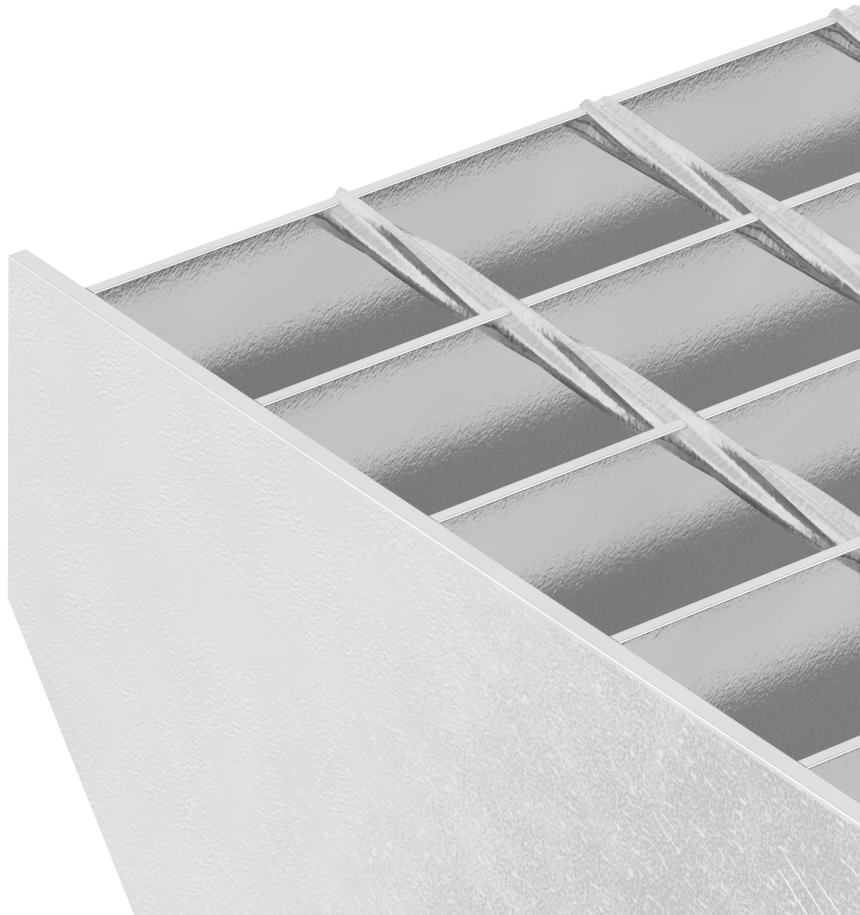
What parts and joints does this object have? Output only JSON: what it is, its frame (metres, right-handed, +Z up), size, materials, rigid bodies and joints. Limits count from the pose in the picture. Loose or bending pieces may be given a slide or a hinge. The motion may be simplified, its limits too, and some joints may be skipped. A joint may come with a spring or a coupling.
{
  "type": "metal stair tread",
  "caption": "Galvanised steel grating stair tread with upright bearing bars, twisted cross bars, a folded nosing and flat bolt-on end plates.",
  "frame": {"origin": "centre of the footprint, on the lower edges of the end plates", "axes": "+X along the bearing bars from the left end plate to the right one, -Y towards the nosing at the front, +Z up"},
  "size_m": [0.6, 0.24, 0.1011],
  "materials": {
    "galvanised_steel": "hot-dip galvanised, light grey, slightly orange-peeled"
  },
  "bodies": {
    "root": {"bearing_bar_01": "galvanised_steel", "bearing_bar_02": "galvanised_steel", "bearing_bar_03": "galvanised_steel", "bearing_bar_04": "galvanised_steel", "bearing_bar_05": "galvanised_steel", "bearing_bar_06": "galvanised_steel", "cross_bar_01": "galvanised_steel", "cross_bar_02": "galvanised_steel", "cross_bar_03": "galvanised_steel", "cross_bar_04": "galvanised_steel", "cross_bar_05": "galvanised_steel", "cross_bar_06": "galvanised_steel", "cross_bar_07": "galvanised_steel", "cross_bar_08": "galvanised_steel", "cross_bar_09": "galvanised_steel", "cross_bar_10": "galvanised_steel", "cross_bar_11": "galvanised_steel", "cross_bar_12": "galvanised_steel", "cross_bar_13": "galvanised_steel", "cross_bar_14": "galvanised_steel", "end_plate_left": "galvanised_steel", "end_plate_right": "galvanised_steel", "nosing": "galvanised_steel"}
  },
  "joints": []
}
